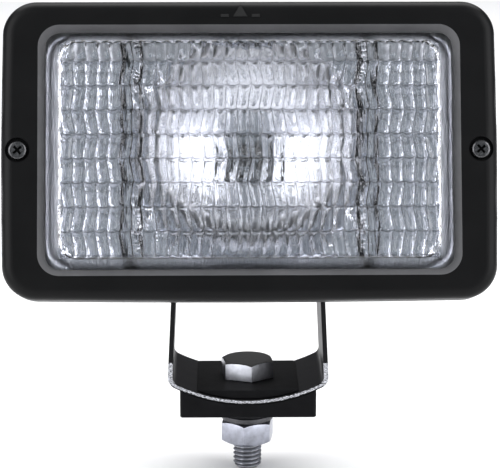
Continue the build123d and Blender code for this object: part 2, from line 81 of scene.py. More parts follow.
class Wire:
    """A node socket, or the bare tree. Operators on it add Math nodes; node() adds any other."""

    def __init__(self, tree, socket=None):
        self.tree, self.socket = tree, socket

    def node(self, kind, settings=None, sockets=None, out=0):
        made = self.tree.nodes.new(kind)
        for name, value in (settings or {}).items():
            if name == "stops":
                ramp = made.color_ramp.elements
                while len(ramp) < len(value):
                    ramp.new(1.0)
                for stop, (place, shade) in zip(ramp, value):
                    stop.position, stop.color = place, (shade, shade, shade, 1)
            else:
                setattr(made, name, value)
        for name, value in (sockets or {}).items():
            if isinstance(value, Wire):
                self.tree.links.new(value.socket, made.inputs[name])
            else:
                made.inputs[name].default_value = value
        return Wire(self.tree, made.outputs[out] if made.outputs else None)

    def maths(self, operation, *values, clamp=False):
        settings = {"operation": operation, "use_clamp": clamp}
        return self.node("ShaderNodeMath", settings, dict(enumerate(values)))

    def __add__(self, other):
        return self.maths("ADD", self, other)

    def __radd__(self, other):
        return self.maths("ADD", other, self)

    def __sub__(self, other):
        return self.maths("SUBTRACT", self, other)

    def __rsub__(self, other):
        return self.maths("SUBTRACT", other, self)

    def __mul__(self, other):
        return self.maths("MULTIPLY", self, other)

    def __rmul__(self, other):
        return self.maths("MULTIPLY", other, self)

    def mix(self, low, high):
        """Colour between two colours, by this socket as the factor."""
        sockets = {"Factor": self, "A": low, "B": high}
        return self.node("ShaderNodeMix", {"data_type": "RGBA"}, sockets, out="Result")


def new_finish(name):
    """An empty node material and the Wire that builds it."""
    material = bpy.data.materials.new(name)
    material.use_nodes = True
    material.node_tree.nodes.clear()
    return material, Wire(material.node_tree)


def surface(wire, sockets):
    """Ends the material with one Principled shader, from a dictionary of its sockets."""
    shader = wire.node("ShaderNodeBsdfPrincipled", {}, sockets)
    wire.node("ShaderNodeOutputMaterial", {}, {"Surface": shader})


def object_point(wire, scale=1.0, stretch=(1, 1, 1)):
    place = wire.node("ShaderNodeTexCoord", out="Object")
    sockets = {"Vector": place, "Scale": tuple(scale * s for s in stretch)}
    return wire.node("ShaderNodeMapping", {}, sockets)


def grain(wire, scale, detail=3.0, stretch=(1, 1, 1), rough=0.5):
    """Noise from 0 to 1 whose features are 1/scale metres across."""
    sockets = {"Vector": object_point(wire, 1.0, stretch), "Scale": scale}
    sockets |= {"Detail": detail, "Roughness": rough}
    return wire.node("ShaderNodeTexNoise", {}, sockets, out="Fac")


def bump(wire, height, strength, distance):
    return wire.node("ShaderNodeBump", {}, {"Height": height, "Strength": strength, "Distance": distance})


def mesh_object(name, build, material, body, *nodes, smooth=35):
    """Object from a function that fills a bmesh, shaded smooth up to an angle, riding on a body."""
    mesh = bmesh.new()
    build(mesh)
    bmesh.ops.remove_doubles(mesh, verts=mesh.verts, dist=1e-7)
    bmesh.ops.recalc_face_normals(mesh, faces=mesh.faces)
    data = bpy.data.meshes.new(name)
    mesh.to_mesh(data)
    mesh.free()
    made = bpy.data.objects.new(name, data)
    bpy.context.collection.objects.link(made)
    data.materials.append(material)
    bpy.context.view_layer.objects.active = made
    made.select_set(True)
    bpy.ops.object.shade_smooth_by_angle(angle=radians(smooth))
    made.select_set(False)
    if body:
        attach(made, body)
    if nodes:
        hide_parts(*nodes)
    return made


def dress(node, material):
    """Gives a CAD node its material."""
    target = frame["nodes"][node]
    for place in target.material_slots:
        place.material = material


FLOOR_LEFT, FLOOR_RIGHT, FLOOR_FRONT, FLOOR_BACK = -1.4, 1.4, -0.34, 1.5
FLOOR_GAP = 0.0005

floor_finish, paper = new_finish("studio_paper")
tooth = grain(paper, 900)
surface(paper, {"Base Color": (0.93, 0.93, 0.93, 1), "Roughness": 0.75 + 0.1 * tooth})


def floor_sheet(mesh):
    near = [(FLOOR_LEFT, FLOOR_FRONT), (FLOOR_RIGHT, FLOOR_FRONT)]
    far = [(FLOOR_RIGHT, FLOOR_BACK), (FLOOR_LEFT, FLOOR_BACK)]
    mesh.faces.new([mesh.verts.new((x, y, cad_low.z - FLOOR_GAP)) for x, y in near + far])


mesh_object("floor", floor_sheet, floor_finish, None)

# The walls are dim ahead of the lamp and dark behind it, and bright at both sides,
# so that the glass and the mirror have light and dark to show.
WALL_AHEAD, WALL_ASIDE = (0.245, 0.268, 0.28, 1), (0.92, 0.93, 1.0, 1)
WALL_BEHIND, BACKDROP = (0.13, 0.13, 0.14, 1), (1.0, 1.0, 1.0, 1)
WALL_STRENGTH = 1.1

world = bpy.data.worlds.new("studio")
world.use_nodes = True
world.node_tree.nodes.clear()
room = Wire(world.node_tree)
gaze = room.node("ShaderNodeTexCoord", out="Generated")
across = room.node("ShaderNodeSeparateXYZ", {}, {"Vector": gaze}, out="X")
along = room.node("ShaderNodeSeparateXYZ", {}, {"Vector": gaze}, out="Y")
behind = room.maths("MULTIPLY", along + 0.30, 2.6, clamp=True)
aside = room.maths("MULTIPLY", room.maths("ABSOLUTE", across) - 0.25, 2.2, clamp=True)
room_colour = behind.mix(aside.mix(WALL_AHEAD, WALL_ASIDE), WALL_BEHIND)
seen = room.node("ShaderNodeLightPath", out="Is Camera Ray")
room_colour = seen.mix(room_colour, BACKDROP)
glow = room.node("ShaderNodeBackground", {}, {"Color": room_colour, "Strength": WALL_STRENGTH})
room.node("ShaderNodeOutputWorld", {}, {"Surface": glow})
bpy.context.scene.world = world


def soft_light(name, place, aim, size, radiance):
    """Rectangular softbox of an even brightness, whatever its size."""
    data = bpy.data.lights.new(name, "AREA")
    data.shape, data.size, data.size_y = "RECTANGLE", *size
    data.energy = radiance * pi * size[0] * size[1]
    made = bpy.data.objects.new(name, data)
    made.location = place
    made.rotation_euler = (Vector(aim) - Vector(place)).to_track_quat("-Z", "Y").to_euler()
    bpy.context.collection.objects.link(made)


BOX_AROUND, BOX_RISE, BOX_REACH = radians(61), 0.42, 1.35
BOX_SIZE, BOX_RADIANCE = (1.35, 1.5), 2.3
OVERHEAD_PLACE, OVERHEAD_AIM = (0, 0.75, 1.6), (0, 0.3, 0)
OVERHEAD_SIZE, OVERHEAD_RADIANCE = (2.2, 1.2), 4.0

lamp_middle = Vector((0, -0.045, 0.103))
for side in (-1, 1):
    toward = Vector((side * sin(BOX_AROUND), -cos(BOX_AROUND), BOX_RISE))
    soft_light("side_box", lamp_middle + toward * BOX_REACH, lamp_middle, BOX_SIZE, BOX_RADIANCE)
soft_light("overhead", OVERHEAD_PLACE, OVERHEAD_AIM, OVERHEAD_SIZE, OVERHEAD_RADIANCE)

# ---------------------------------------------------------------- mounting bolt
# One M10 hexagon-head set screw, zinc plated. It goes down through both saddles
# and the slot in the bracket, and its thread carries the spring washer and nut.

MM = 0.001
HEX_FLAT = 17 * MM
CHAMFER_R = 0.95 * HEX_FLAT / 2
CHAMFER_SLOPE = tan(radians(30))
EDGE_ROUND = 0.12 * MM
HEAD_H, HEAD_TURN = 6.4 * MM, radians(8)
THREAD_R, THREAD_PITCH, THREAD_DEPTH = 5 * MM, 1.5 * MM, 0.92 * MM
THREAD_STEPS, THREAD_LINES = 96, 16
SHADED_TOP_BAND = 1.4 * MM
GROOVE_R = 4.6 * MM
bolt_low, bolt_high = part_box("mount_bolt")

zinc, plate = new_finish("zinc_plate")
patches = grain(plate, 420, 4)
fine = grain(plate, 5200, 2)
colour = patches.mix((0.22, 0.225, 0.25, 1), (0.60, 0.62, 0.72, 1))
roughness = 0.2 + 0.16 * patches + 0.06 * fine
relief = bump(plate, patches * 0.6 + fine * 0.4, 0.25, 0.00008)
surface(plate, {"Base Color": colour, "Metallic": 1.0, "Roughness": roughness, "Normal": relief})

# The bolt's material carries painted shade: the top of the head is painted near black, and the thread's
# grooves are painted dark.
shaded_bolt, bolt_shade = new_finish("bolt_painted_shade")
height = bolt_shade.node("ShaderNodeSeparateXYZ", {}, {"Vector": object_point(bolt_shade)}, out="Z")
patches = grain(bolt_shade, 420, 4)
fine = grain(bolt_shade, 5200, 2)
# Painted shade on the head's top: faces near the top that look upward are painted near black, and made
# rougher and less metallic.
near_top = bolt_shade.maths("GREATER_THAN", height, bolt_high.z - SHADED_TOP_BAND)
facing_up = bolt_shade.node("ShaderNodeTexCoord", out="Normal")
facing_up = bolt_shade.node("ShaderNodeSeparateXYZ", {}, {"Vector": facing_up}, out="Z")
top = near_top * bolt_shade.maths("GREATER_THAN", facing_up + 0.2 * patches, 0.45)
flat_point = {0: object_point(bolt_shade), 1: (1, 1, 0)}
axis_gap = bolt_shade.node("ShaderNodeVectorMath", {"operation": "MULTIPLY"}, flat_point)
axis_gap = bolt_shade.node("ShaderNodeVectorMath", {"operation": "LENGTH"}, {0: axis_gap}, out="Value")
# Painted shade in the thread's grooves: inside GROOVE_R the zinc is painted near black.
groove = bolt_shade.maths("MULTIPLY", GROOVE_R - axis_gap, 1500, clamp=True)
plated = patches.mix((0.30, 0.31, 0.34, 1), (0.72, 0.73, 0.78, 1))
plated = groove.mix(plated, (0.03, 0.03, 0.032, 1))
colour = top.mix(plated, patches.mix((0.002, 0.002, 0.002, 1), (0.02, 0.02, 0.021, 1)))
roughness = 0.24 + 0.16 * patches + 0.35 * top
relief = bump(bolt_shade, patches * 0.6 + fine * 0.4, 0.5, 0.0001)
surface(bolt_shade, {"Base Color": colour, "Metallic": 1 - 0.9 * top, "Roughness": roughness, "Normal": relief})


def hexagon_radius(angle, turn):
    """Distance from the axis to the side of the hexagon, at an angle."""
    return HEX_FLAT / 2 / cos((angle - turn + pi / 6) % (pi / 3) - pi / 6)


def ring_band(mesh, rings, close_start=False, close_end=False):
    """Quads between rings of vertices, each ring a list of points."""
    made = [[mesh.verts.new(p) for p in ring] for ring in rings]
    count = len(made[0])
    for low, high in zip(made, made[1:]):
        for k in range(count):
            n = (k + 1) % count
            mesh.faces.new((low[k], low[n], high[n], high[k]))
    if close_start:
        mesh.faces.new(made[0])
    if close_end:
        mesh.faces.new(made[-1])
    return made


def hexagon_rings(bottom, top, turn, both_ends, steps=144):
    """Rings up the side of a hexagon whose corners are cut by a 30 degree cone."""
    edge = EDGE_ROUND
    rings = []

    def ring(radius_of, height_of):
        points = []
        for k in range(steps):
            angle = 2 * pi * k / steps + turn
            radius = hexagon_radius(angle, turn)
            r = radius_of(radius)
            points.append((r * cos(angle), r * sin(angle), height_of(radius)))
        rings.append(points)

    def cut(radius):
        return max(0.0, (radius - CHAMFER_R) * CHAMFER_SLOPE)

    if both_ends:
        ring(lambda r: CHAMFER_R - edge, lambda r: bottom)
        ring(lambda r: min(r, CHAMFER_R + edge), lambda r: bottom + 0.3 * edge)
        ring(lambda r: r - edge * 0.4, lambda r: bottom + cut(r) * 0.9 + 0.3 * edge)
        ring(lambda r: r, lambda r: bottom + cut(r) + edge)
    else:
        ring(lambda r: r - edge, lambda r: bottom)
        ring(lambda r: r, lambda r: bottom + edge)
    ring(lambda r: r, lambda r: top - cut(r) - edge)
    ring(lambda r: r - edge * 0.4, lambda r: top - cut(r) * 0.9 - 0.3 * edge)
    ring(lambda r: min(r, CHAMFER_R + edge), lambda r: top - 0.3 * edge)
    ring(lambda r: CHAMFER_R - edge, lambda r: top)
    return rings


def bolt_mesh(mesh):
    head_bottom = bolt_high.z - HEAD_H
    rings = hexagon_rings(head_bottom, bolt_high.z, HEAD_TURN, False)
    ring_band(mesh, rings, True, True)
    # Helical thread: the crest's height follows the angle round the shank.
    span = head_bottom - 2 * MM - bolt_low.z
    rows = int(span / THREAD_PITCH * THREAD_LINES)
    rings = []
    for row in range(rows + 1):
        height = bolt_low.z + span * row / rows
        fade = min(1.0, (height - bolt_low.z) / (1.0 * MM), (bolt_low.z + span - height) / MM)
        chamfer_r = THREAD_R - THREAD_DEPTH * 1.05 + (height - bolt_low.z)
        points = []
        for k in range(THREAD_STEPS):
            angle = 2 * pi * k / THREAD_STEPS
            phase = (height / THREAD_PITCH - angle / (2 * pi)) % 1.0
            wedge = abs(2 * phase - 1)
            depth = THREAD_DEPTH * min(1.0, max(0.0, (wedge - 0.12) / 0.7)) * max(0.0, fade)
            r = min(THREAD_R - depth, chamfer_r)
            points.append((r * cos(angle), r * sin(angle), height))
        rings.append(points)
    tip = [(0.7 * x, 0.7 * y, bolt_low.z) for x, y, z in rings[0]]
    neck = [(x, y, head_bottom + 0.2 * MM) for x, y, z in rings[-1]]
    ring_band(mesh, [tip] + rings + [neck], True, True)


mesh_object("hexagon_bolt", bolt_mesh, shaded_bolt, "mount", "mount_bolt")

# ---------------------------------------------------------------- spring washer and nut
# Split spring washer coiled from square wire, and a plain M10 nut chamfered on
# both faces. They clamp whatever plate the lamp is bolted to.

WASHER_BORE_R, WASHER_T, WASHER_SOFT = 5.2 * MM, 1.75 * MM, 0.22 * MM
WASHER_START, WASHER_TURN = radians(62), radians(352)
NUT_TURN, NUT_BORE_R, NUT_MOUTH_R, NUT_MOUTH = radians(-8), 4.95 * MM, 5.4 * MM, 0.5 * MM

dark_spring, temper = new_finish("dark_spring_steel")
patches = grain(temper, 900, 3)
colour = patches.mix((0.05, 0.05, 0.055, 1), (0.16, 0.16, 0.17, 1))
surface(temper, {"Base Color": colour, "Metallic": 1.0, "Roughness": 0.35 + 0.2 * patches})

washer_low, washer_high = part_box("spring_washer")
nut_low, nut_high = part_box("mount_nut")


def washer_mesh(mesh):
    inner, outer = WASHER_BORE_R, (washer_high.x - washer_low.x) / 2
    thick, soft = WASHER_T, WASHER_SOFT
    rise = washer_high.z - washer_low.z - thick
    section = []
    for cx, cz, start in ((1, 1, 0), (0, 1, 90), (0, 0, 180), (1, 0, 270)):
        for k in range(4):
            a = radians(start + 30 * k)
            r = (outer - soft if cx else inner + soft) + soft * cos(a)
            section.append((r, (thick - soft if cz else soft) + soft * sin(a)))
    rings = []
    steps = 90
    for k in range(steps + 1):
        angle = WASHER_START + WASHER_TURN * k / steps
        lift = washer_low.z + rise * k / steps
        rings.append([(r * cos(angle), r * sin(angle), lift + z) for r, z in section])
    ring_band(mesh, rings, True, True)


mesh_object("split_washer", washer_mesh, dark_spring, "mount", "spring_washer")


def nut_mesh(mesh):
    rings = hexagon_rings(nut_low.z, nut_high.z, NUT_TURN, True)
    count = len(rings[0])
    angles = [2 * pi * k / count + NUT_TURN for k in range(count)]
    bore = (
        (nut_high.z, NUT_MOUTH_R), (nut_high.z - NUT_MOUTH, NUT_BORE_R),
        (nut_low.z + NUT_MOUTH, NUT_BORE_R), (nut_low.z, NUT_MOUTH_R),
    )
    inner = [[(r * cos(a), r * sin(a), height) for a in angles] for height, r in bore]
    made = ring_band(mesh, rings + inner)
    for k in range(count):
        n = (k + 1) % count
        mesh.faces.new((made[-1][k], made[-1][n], made[0][n], made[0][k]))


mesh_object("hexagon_nut", nut_mesh, zinc, "mount", "mount_nut")

# ---------------------------------------------------------------- saddles
# Two moulded nylon blocks hug the curved base from below and above, so that the
# bracket can lean along its arc before the bolt is tightened.

nylon, block = new_finish("moulded_nylon")
haze = grain(block, 260, 4)
pits = grain(block, 3800, 3, rough=0.65)
colour = haze.mix((0.004, 0.004, 0.0045, 1), (0.010, 0.010, 0.011, 1))
relief = bump(block, pits, 0.35, 0.00006)
surface(block, {
    "Base Color": colour, "Roughness": 0.5 + 0.18 * haze, "Specular IOR Level": 0.06, "Normal": relief,
})
dress("lower_saddle", nylon)
dress("upper_saddle", nylon)

# ---------------------------------------------------------------- bracket
# One pressed steel strip bent to a U with a curved base. It is painted satin
# black, and the paint is worn to bright metal along the cut edge of the base.

BASE_ARC_Z, BASE_ARC_R, STRIP_T = 65.8 * MM, 57 * MM, 1.6 * MM
BARE_TOP, ARM_START = 23.5 * MM, 16.5 * MM
WORN_HALF, RAGGED = 0.85 * MM, 0.8 * MM

strip, coat = new_finish("painted_strip")
place = object_point(coat)
height = coat.node("ShaderNodeSeparateXYZ", {}, {"Vector": place}, out="Z")
facing = coat.node("ShaderNodeTexCoord", out="Normal")
edge_on = coat.node("ShaderNodeSeparateXYZ", {}, {"Vector": facing}, out="Y")
edge_on = coat.maths("GREATER_THAN", coat.maths("ABSOLUTE", edge_on), 0.7)
chips = grain(coat, 1500, 3)
low_down = coat.maths("LESS_THAN", height + 2 * MM * chips, BARE_TOP + 1 * MM)
from_arc = coat.node("ShaderNodeVectorMath", {"operation": "MULTIPLY"}, {0: place, 1: (1, 0, 1)})
arc_axis = {0: from_arc, 1: (0, 0, BASE_ARC_Z)}
from_arc = coat.node("ShaderNodeVectorMath", {"operation": "DISTANCE"}, arc_axis, out="Value")
off_middle = coat.maths("ABSOLUTE", from_arc - (BASE_ARC_R - STRIP_T / 2))
worn = coat.maths("LESS_THAN", off_middle + RAGGED * chips, WORN_HALF)
on_arm = coat.maths("GREATER_THAN", height, ARM_START)
bare = edge_on * low_down * coat.maths("MAXIMUM", worn, on_arm)
# Painted reflection on the bare steel: it is streaked from near black to near white.
streak = grain(coat, 1300, 2, (1, 1, 3))
haze = grain(coat, 160, 3)
paint_colour = haze.mix((0.006, 0.006, 0.0065, 1), (0.012, 0.012, 0.013, 1))
mottle = coat.maths("MULTIPLY", streak - 0.36, 4.0, clamp=True)
steel_colour = mottle.mix((0.03, 0.03, 0.033, 1), (0.86, 0.87, 0.92, 1))
colour = bare.mix(paint_colour, steel_colour)
roughness = 0.34 + 0.12 * haze
relief = bump(coat, grain(coat, 2600, 3), 0.2, 0.00005)
surface(coat, {
    "Base Color": colour, "Metallic": bare, "Roughness": roughness,
    "Specular IOR Level": 0.12, "Normal": relief,
})
dress("bracket", strip)

# ---------------------------------------------------------------- housing
# Deep black moulded bowl with a square tower behind it. The tower takes the
# pivot inserts and lets the cable in through a rubber grommet.

bowl, shell = new_finish("housing_plastic")
haze = grain(shell, 90, 3)
pits = grain(shell, 2400, 4, rough=0.7)
colour = haze.mix((0.009, 0.009, 0.010, 1), (0.017, 0.017, 0.018, 1))
relief = bump(shell, pits, 0.45, 0.0001)
surface(shell, {"Base Color": colour, "Roughness": 0.5 + 0.14 * haze, "Normal": relief})
dress("housing", bowl)

rubber, ring = new_finish("soft_rubber")
haze = grain(ring, 700, 3)
colour = haze.mix((0.012, 0.012, 0.012, 1), (0.03, 0.03, 0.03, 1))
surface(ring, {"Base Color": colour, "Roughness": 0.68 + 0.15 * haze})
dress("cable_grommet", rubber)
dress("lens_gasket", rubber)

# ---------------------------------------------------------------- reflector
# Pressed sheet with a parabolic dish in a shallow rectangular tray, vacuum
# coated with aluminium. Its flange is clamped under the lens by the bezel.

LAMP_TILT = radians(17)
PIVOT_DEPTH = 54 * MM
DISH_HALF_W, DISH_FOCUS, DISH_DEPTH = 37 * MM, 18.5 * MM, 33 * MM
HOLE_R, HOLE_LIP = 6.5 * MM, 1.5 * MM
TRAY_HALF_W, TRAY_HALF_H, TRAY_CORNER = 65 * MM, 37.2 * MM, 6.5 * MM
WING_DEPTH, WING_SLOPE, PLATE_DEPTH = 10 * MM, 0.14, 12.5 * MM
WALL_DEPTH, WALL_SLOPE = 12 * MM, 2.2
SEAM_X, SEAM_W, SEAM_GROOVE = 38.5 * MM, 2.5 * MM, 0.5 * MM
RIM_POINTS, DISH_STEPS = 288, 90
# Width, height, corner radius and depth in mm, out from the tray to the flange's edge.
FLANGE_RINGS = ((130.6, 75, 7, 10), (131, 75.4, 7, 8.5), (140, 84, 9, 8.5))
SHEET_T = 0.9 * MM

tilt = next(j for j in frame["joints"] if j["name"] == "tilt")
forward = Vector((0, -cos(LAMP_TILT), sin(LAMP_TILT)))
upward = Vector((0, sin(LAMP_TILT), cos(LAMP_TILT)))
front_centre = Vector(tilt["pos_m"]) + forward * PIVOT_DEPTH


def lamp_point(x, up, depth):
    """Point at x and up on the lamp's face, a depth behind the bezel's front."""
    return front_centre + Vector((x, 0, 0)) + upward * up - forward * depth


def rounded_outline(width, height, radius, count):
    """Points round a rounded rectangle, evenly spread by angle about its middle."""
    points = []
    for k in range(count):
        angle = 2 * pi * (k + 0.5) / count
        dx, dy = cos(angle), sin(angle)
        reach = min(width / 2 / max(abs(dx), 1e-9), height / 2 / max(abs(dy), 1e-9))
        x, y = dx * reach, dy * reach
        cx, cy = width / 2 - radius, height / 2 - radius
        if abs(x) > cx and abs(y) > cy:
            low, high = 0.0, reach
            for _ in range(40):
                mid = (low + high) / 2
                px, py = abs(dx) * mid - cx, abs(dy) * mid - cy
                outside = px > 0 and py > 0 and px * px + py * py > radius * radius
                outside = outside or px > radius or py > radius
                low, high = (low, mid) if outside else (mid, high)
            x, y = dx * low, dy * low
        points.append((x, y))
    return points


bright, mirror_coat = new_finish("aluminised")
cloud = grain(mirror_coat, 60, 3)
ripple = grain(mirror_coat, 240, 2)
colour = cloud.mix((0.80, 0.81, 0.86, 1), (0.90, 0.91, 0.95, 1))
relief = bump(mirror_coat, ripple, 0.12, 0.0004)
place = {"Vector": object_point(mirror_coat)}
# Painted shade: the mirror is painted near black in a thin line along the crease where the dish meets each
# wing.
off_centre = mirror_coat.node("ShaderNodeSeparateXYZ", {}, place, out="X")
off_seam = mirror_coat.maths("ABSOLUTE", mirror_coat.maths("ABSOLUTE", off_centre) - SEAM_X)
seam = mirror_coat.maths("SUBTRACT", 1.7, off_seam * 700, clamp=True)
colour = seam.mix(colour, (0.008, 0.007, 0.009, 1))
surface(mirror_coat, {
    "Base Color": colour, "Metallic": 1.0, "Roughness": 0.06 + 0.06 * cloud, "Normal": relief,
})


def reflector_depth(x, u):
    """Depth of the mirror: a parabolic dish between two slanted wings, under sloped walls."""
    dish = max(PLATE_DEPTH, DISH_DEPTH - (x * x + u * u) / (4 * DISH_FOCUS))
    wing = WING_DEPTH + (TRAY_HALF_W - abs(x)) * WING_SLOPE
    wall = WALL_DEPTH + (TRAY_HALF_H - abs(u)) * WALL_SLOPE
    along = min(1.0, max(0.0, (abs(x) - DISH_HALF_W) / SEAM_W))
    seam = SEAM_GROOVE * sin(pi * along)
    return min(dish + (wing - dish) * along + seam, wall)


def reflector_mesh(mesh):
    angles = [2 * pi * (k + 0.5) / RIM_POINTS for k in range(RIM_POINTS)]
    rim = rounded_outline(2 * TRAY_HALF_W, 2 * TRAY_HALF_H, TRAY_CORNER, RIM_POINTS)
    hole = [(HOLE_R * cos(a), HOLE_R * sin(a)) for a in angles]
    rings = [[lamp_point(x, u, DISH_DEPTH + HOLE_LIP) for x, u in hole]]
    for step in range(DISH_STEPS + 1):
        t = step / DISH_STEPS
        ring = []
        for (x0, u0), (x1, u1) in zip(hole, rim):
            x, u = x0 + (x1 - x0) * t, u0 + (u1 - u0) * t
            ring.append(lamp_point(x, u, reflector_depth(x, u)))
        rings.append(ring)
    for width, height, corner, depth in FLANGE_RINGS:
        outline = rounded_outline(width * MM, height * MM, corner * MM, RIM_POINTS)
        rings.append([lamp_point(x, u, depth * MM) for x, u in outline])
    ring_band(mesh, rings)


reflector = mesh_object("reflector_dish", reflector_mesh, bright, "lamp", "reflector", smooth=20)
thickness = reflector.modifiers.new("sheet", "SOLIDIFY")
thickness.thickness = SHEET_T
thickness.offset = -1

# ---------------------------------------------------------------- bulb
# Halogen bulb with a quartz capsule, a cross filament at the focus and a
# flanged steel base, held against the dish by a spring clip.

quartz, capsule = new_finish("quartz")
drift = grain(capsule, 300, 2)
surface(capsule, {
    "Base Color": (1, 1, 1, 1), "Roughness": 0.01 + 0.02 * drift,
    "IOR": 1.46, "Transmission Weight": 1.0,
})
dress("bulb_capsule", quartz)

tungsten, wound = new_finish("tungsten_wire")
soot = grain(wound, 3000, 2)
colour = soot.mix((0.10, 0.10, 0.10, 1), (0.30, 0.29, 0.28, 1))
surface(wound, {"Base Color": colour, "Metallic": 1.0, "Roughness": 0.4 + 0.2 * soot})

FILAMENT_DEPTH = DISH_DEPTH - DISH_FOCUS
COIL_R, WIRE_R, COIL_TURNS, COIL_HALF = 0.55 * MM, 0.16 * MM, 11, 2.9 * MM
LEG_X, LEG_R, WIRE_FOOT = 2.4 * MM, 0.3 * MM, 31 * MM


def filament_mesh(mesh):
    steps = COIL_TURNS * 20
    route = []
    for k in range(steps + 1):
        a = 2 * pi * COIL_TURNS * k / steps
        route.append((-COIL_HALF + 2 * COIL_HALF * k / steps, COIL_R * sin(a), COIL_R * cos(a)))

    def tube(points, radius, sides=8):
        rings = []
        for k, here in enumerate(points):
            ahead = Vector(points[min(k + 1, len(points) - 1)])
            behind = Vector(points[max(k - 1, 0)])
            along = (ahead - behind).normalized()
            across = along.cross(Vector((0.3, 0.8, 0.52))).normalized()
            other = along.cross(across)
            rings.append([])
            for s in range(sides):
                a = 2 * pi * s / sides
                p = Vector(here) + (across * cos(a) + other * sin(a)) * radius
                rings[-1].append(lamp_point(p.x, p.y, FILAMENT_DEPTH + p.z))
        ring_band(mesh, rings, True, True)

    tube(route, WIRE_R)
    for side in (-1, 1):
        end, foot = side * COIL_HALF, side * LEG_X
        leg = [(end, 0, 0.3 * MM), (end, 0, 2 * MM), (foot, 0, 5 * MM)]
        tube(leg + [(foot, 0, WIRE_FOOT - FILAMENT_DEPTH)], LEG_R, 10)


mesh_object("coiled_filament", filament_mesh, tungsten, "lamp", "bulb_filament")

nickel, pressed = new_finish("nickel_plate")
tarnish = grain(pressed, 500, 4)
colour = tarnish.mix((0.20, 0.19, 0.18, 1), (0.40, 0.39, 0.38, 1))
surface(pressed, {"Base Color": colour, "Metallic": 1.0, "Roughness": 0.25 + 0.2 * tarnish})
for node in ("bulb_clip", "clip_plate"):
    dress(node, nickel)

# Painted shade: the bulb's steel base is painted near black.
shaded_base, collar = new_finish("bulb_base_painted_shade")
tarnish = grain(collar, 500, 4)
colour = tarnish.mix((0.02, 0.02, 0.022, 1), (0.09, 0.085, 0.08, 1))
surface(collar, {"Base Color": colour, "Metallic": 0.8, "Roughness": 0.35 + 0.2 * tarnish})
dress("bulb_base", shaded_base)
dress("clip_screw", zinc)

brass, turned = new_finish("turned_brass")
tarnish = grain(turned, 600, 4)
colour = tarnish.mix((0.55, 0.38, 0.14, 1), (0.80, 0.60, 0.28, 1))
surface(turned, {"Base Color": colour, "Metallic": 1.0, "Roughness": 0.24 + 0.18 * tarnish})
for node in ("earth_tab", "lead_terminal", "pivot_inserts"):
    dress(node, brass)

sheath, jacket = new_finish("cable_sheath")
haze = grain(jacket, 900, 3)
colour = haze.mix((0.015, 0.015, 0.016, 1), (0.035, 0.035, 0.037, 1))
surface(jacket, {"Base Color": colour, "Roughness": 0.5 + 0.15 * haze})
dress("bulb_lead", sheath)

sleeve, cover = new_finish("clear_nylon")
haze = grain(cover, 700, 3)
colour = haze.mix((0.55, 0.53, 0.47, 1), (0.72, 0.70, 0.64, 1))
surface(cover, {"Base Color": colour, "Roughness": 0.35 + 0.12 * haze})
dress("terminal_sleeve", sleeve)

# ---------------------------------------------------------------- lens
# Pressed glass: a flat flange, sloped plain sides and a slightly crowned field
# with rows of upright pillow flutes moulded into its inner face.

FIELD_X, FIELD_U = 60.5 * MM, 34.4 * MM
EDGE_X, EDGE_U = 70.5 * MM, 42.5 * MM
CORNER = 5.5 * MM
COLUMNS = 32
ROW_PITCH = 7.83 * MM
FLUTE = 2 * FIELD_X / COLUMNS
FIRST_ROW = 5.6 * MM
FLUTE_RISE, ROW_RISE = 0.58 * MM, 0.3 * MM
FLUTE_LEAN, SCALLOP = 0.42, 0.07
LENS_SEAT, LENS_BACK, LENS_FRONT = 3.5 * MM, 6.5 * MM, -2.5 * MM
GLASS_T, CROWN = 2.6 * MM, 0.9 * MM
# The sloped sides end this far from the field to the flange's edge.
SLOPE_END = 0.5
BORDER_STEPS = (0.03, 0.1, 0.2, 0.3, 0.4, 0.5, 0.6, 0.66, 1.0)
INNER_FACE = 2.2 * MM

glass, melt = new_finish("pressed_glass")
place = object_point(melt)


def measure(direction, origin):
    """Distance of the shaded point from an origin along a fixed direction."""
    pair = {0: place, 1: direction}
    along = melt.node("ShaderNodeVectorMath", {"operation": "DOT_PRODUCT"}, pair, out="Value")
    return along - origin.dot(direction)


def near_joint(phase, pitch, width):
    """1 on the line where two flutes or rows meet, fading to 0 at its width."""
    gap = 0.5 - melt.maths("ABSOLUTE", phase - 0.5)
    return melt.maths("SUBTRACT", 1.0, gap * (pitch / width), clamp=True)


def within(value, limit):
    """1 where a distance is within a limit on either side."""
    return melt.maths("LESS_THAN", melt.maths("ABSOLUTE", value), limit)


side_x = measure(Vector((1, 0, 0)), front_centre)
rise_u = measure(upward, front_centre)
inner_face = melt.maths("LESS_THAN", measure(forward, front_centre), INNER_FACE)
row = (FIELD_U - FIRST_ROW + 2 * ROW_PITCH - rise_u) * (1 / ROW_PITCH)
lean = FLUTE_LEAN * melt.maths("SINE", 90 * side_x + 2.4 * melt.maths("FLOOR", row))
phase_x = melt.maths("FRACT", (side_x + FIELD_X) * (1 / FLUTE) + lean * (melt.maths("FRACT", row) - 0.5))
bulge = 2 * phase_x - 1
phase_u = melt.maths("FRACT", row - SCALLOP * (1 - bulge * bulge))
drift = grain(melt, 700, 2)
# Painted shade in the glass: thin dark lines are painted where flutes and rows meet on the inner face.
row_line = near_joint(phase_u, ROW_PITCH, 0.5 * MM) * (0.65 + 0.6 * drift)
flute_line = near_joint(phase_x, FLUTE, 0.34 * MM) * (0.3 + 0.8 * drift)
joint = melt.maths("MAXIMUM", row_line, flute_line) * within(side_x, FIELD_X) * within(rise_u, FIELD_U)
joint = melt.maths("MULTIPLY", joint, inner_face, clamp=True)
in_field = within(side_x, FIELD_X + 0.6 * MM) * within(rise_u, FIELD_U + 0.6 * MM)
